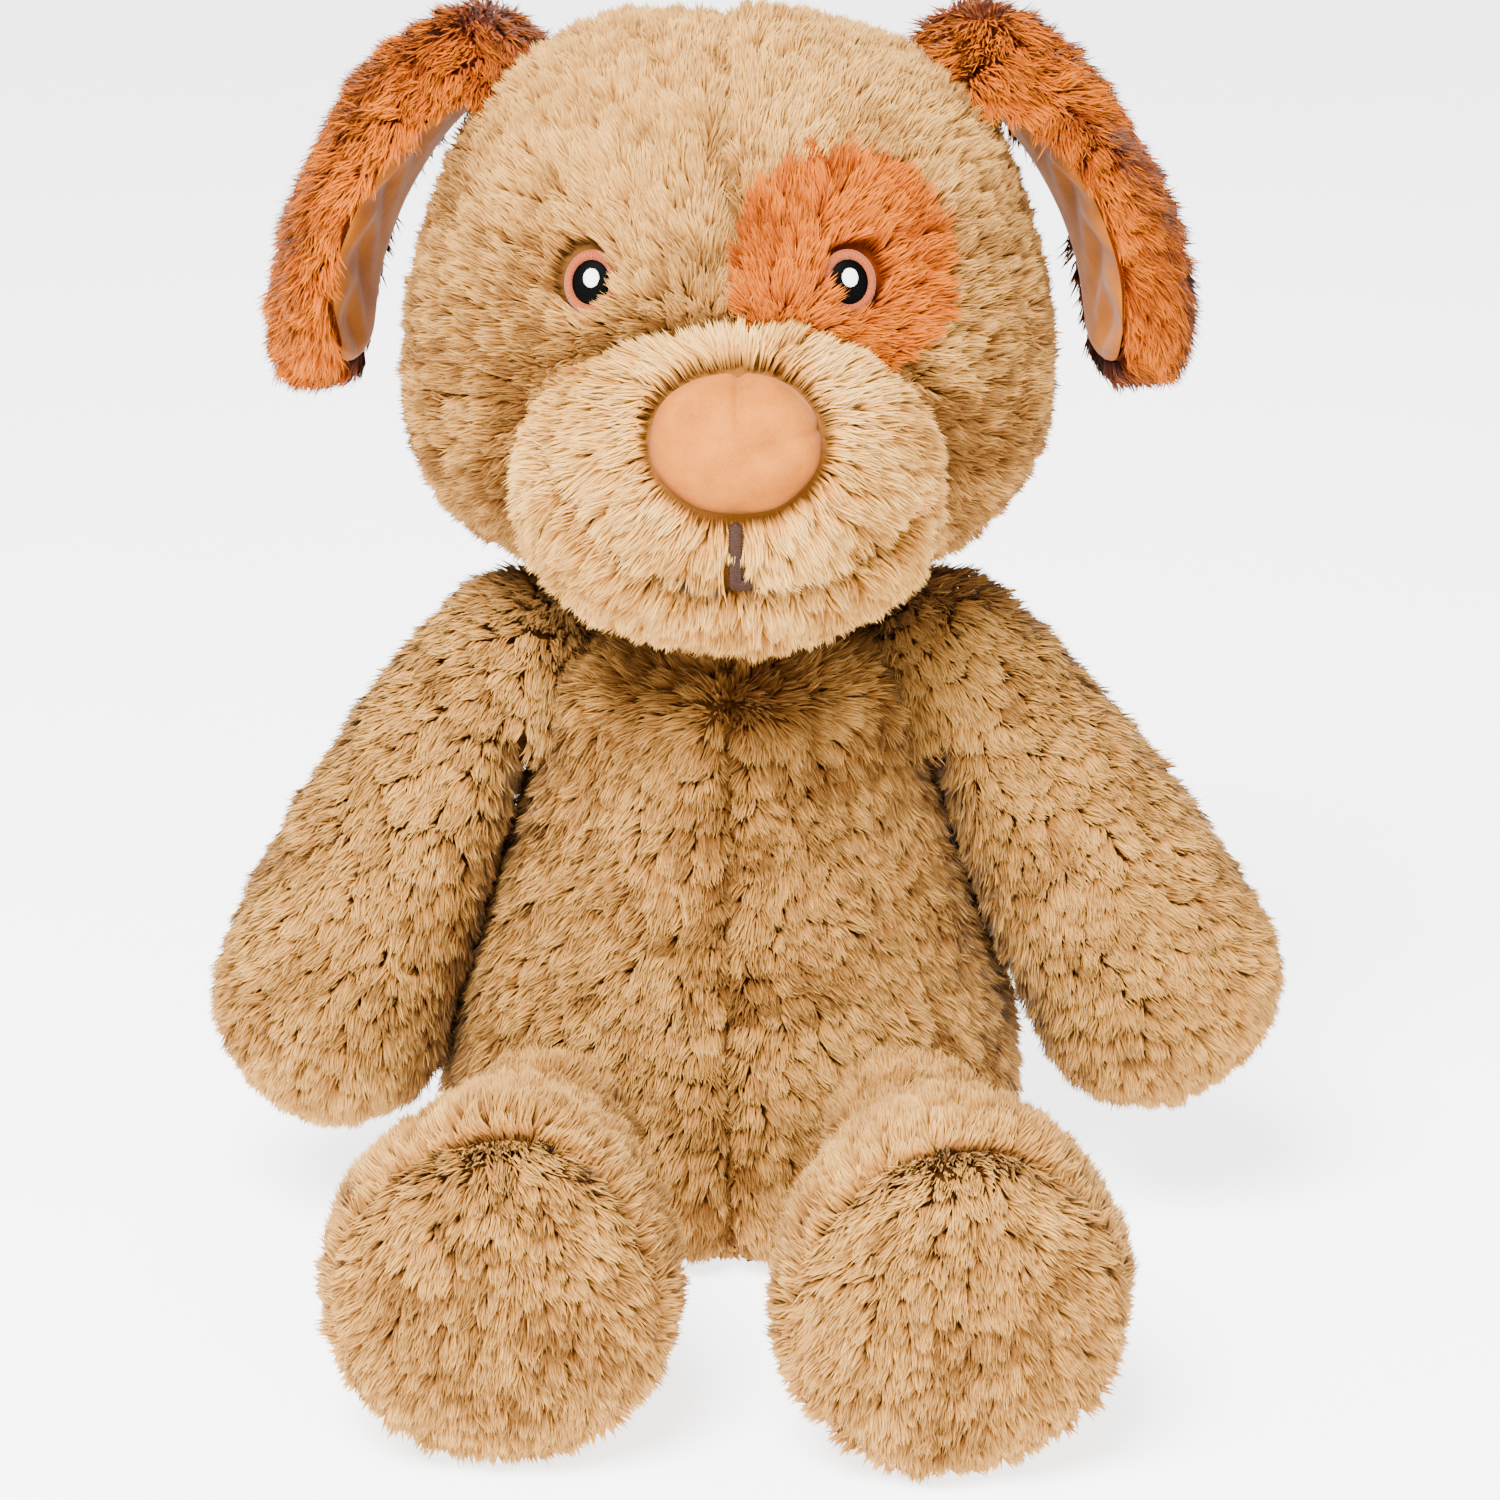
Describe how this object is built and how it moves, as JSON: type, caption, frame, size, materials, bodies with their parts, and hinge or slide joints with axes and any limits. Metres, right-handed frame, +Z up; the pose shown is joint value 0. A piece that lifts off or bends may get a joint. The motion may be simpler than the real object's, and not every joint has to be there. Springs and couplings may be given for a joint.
{
  "type": "plush dog",
  "caption": "Sitting plush dog with a stuffed head that nods and turns, hanging ears, swinging arms and legs, a wagging tail and a coloured eye patch.",
  "frame": {"origin": "middle of the flat seat, on the surface that the dog sits on", "axes": "+Z up from the seat to the head, the dog looks along -Y, its left side is at +X"},
  "size_m": [0.2966, 0.3337, 0.337],
  "materials": {
    "tan_plush": "short soft pile, combed",
    "pale_plush": "short soft pile, a little longer, combed away from the nose",
    "orange_plush": "short soft pile, combed",
    "peach_velboa": "very short dense pile, matt with a soft sheen",
    "brown_thread": "satin stitch in embroidery thread",
    "terracotta_thread": "satin stitch in embroidery thread",
    "black_thread": "satin stitch in embroidery thread",
    "white_thread": "satin stitch in embroidery thread",
    "fibre_stuffing": "loose white polyester fibre",
    "pellet_bag_cloth": "plain woven lining cloth",
    "satin_label": "blank white satin ribbon"
  },
  "bodies": {
    "torso": {"belly_panel_left": "tan_plush", "belly_panel_right": "tan_plush", "back_panel_left": "tan_plush", "back_panel_right": "tan_plush", "seat_panel": "tan_plush", "torso_stuffing": "fibre_stuffing", "pellet_bag": "pellet_bag_cloth", "care_label": "satin_label"},
    "neck": {"neck_stuffing": "fibre_stuffing"},
    "head": {"face_panel_left": "tan_plush", "face_panel_right": "tan_plush", "head_back_panel": "tan_plush", "eye_patch": "orange_plush", "muzzle_panel": "pale_plush", "chin_panel": "pale_plush", "nose_cover": "peach_velboa", "nose_stuffing": "fibre_stuffing", "mouth_stitch": "brown_thread", "head_stuffing": "fibre_stuffing", "left_eye_ring": "terracotta_thread", "left_eye_disc": "black_thread", "left_eye_glint": "white_thread", "right_eye_ring": "terracotta_thread", "right_eye_disc": "black_thread", "right_eye_glint": "white_thread"},
    "tail": {"tail_cover": "orange_plush", "tail_stuffing": "fibre_stuffing"},
    "left_ear": {"left_ear_cover": "orange_plush", "left_ear_lining": "peach_velboa"},
    "left_arm": {"left_arm_front_panel": "tan_plush", "left_arm_back_panel": "tan_plush", "left_arm_stuffing": "fibre_stuffing"},
    "left_leg": {"left_leg_top_panel": "tan_plush", "left_leg_under_panel": "tan_plush", "left_sole_panel": "tan_plush", "left_leg_stuffing": "fibre_stuffing"},
    "right_ear": {"right_ear_cover": "orange_plush", "right_ear_lining": "peach_velboa"},
    "right_arm": {"right_arm_front_panel": "tan_plush", "right_arm_back_panel": "tan_plush", "right_arm_stuffing": "fibre_stuffing"},
    "right_leg": {"right_leg_top_panel": "tan_plush", "right_leg_under_panel": "tan_plush", "right_sole_panel": "tan_plush", "right_leg_stuffing": "fibre_stuffing"}
  },
  "joints": [
    {"name": "neck_turn", "type": "hinge", "parent": "torso", "child": "neck", "pos_m": [0, 0, 0.175], "axis": [0, 0, 1], "range_deg": [-30, 30], "stiffness_Nm_per_rad": 0.6},
    {"name": "head_nod", "type": "hinge", "parent": "neck", "child": "head", "pos_m": [0, 0, 0.175], "axis": [1, 0, 0], "range_deg": [-12, 12], "stiffness_Nm_per_rad": 1.2},
    {"name": "tail_wag", "type": "hinge", "parent": "torso", "child": "tail", "pos_m": [0, 0.084, 0.048], "axis": [0, 0, 1], "range_deg": [-25, 25], "stiffness_Nm_per_rad": 0.02},
    {"name": "left_ear_lift", "type": "hinge", "parent": "head", "child": "left_ear", "pos_m": [0.05993, 0, 0.32672], "axis": [0.2588, -0.9659, 0], "range_deg": [0, 100]},
    {"name": "left_arm_swing", "type": "hinge", "parent": "torso", "child": "left_arm", "pos_m": [0.058, 0, 0.156], "axis": [-1, 0, 0], "range_deg": [-30, 60], "stiffness_Nm_per_rad": 0.15},
    {"name": "left_leg_swing", "type": "hinge", "parent": "torso", "child": "left_leg", "pos_m": [0.049, -0.078, 0.047], "axis": [1, 0, 0], "range_deg": [-20, 40], "stiffness_Nm_per_rad": 0.8},
    {"name": "right_ear_lift", "type": "hinge", "parent": "head", "child": "right_ear", "pos_m": [-0.05993, 0, 0.32672], "axis": [0.2588, 0.9659, 0], "range_deg": [0, 100]},
    {"name": "right_arm_swing", "type": "hinge", "parent": "torso", "child": "right_arm", "pos_m": [-0.058, 0, 0.156], "axis": [-1, 0, 0], "range_deg": [-30, 60], "stiffness_Nm_per_rad": 0.15},
    {"name": "right_leg_swing", "type": "hinge", "parent": "torso", "child": "right_leg", "pos_m": [-0.049, -0.078, 0.047], "axis": [1, 0, 0], "range_deg": [-20, 40], "stiffness_Nm_per_rad": 0.8}
  ]
}
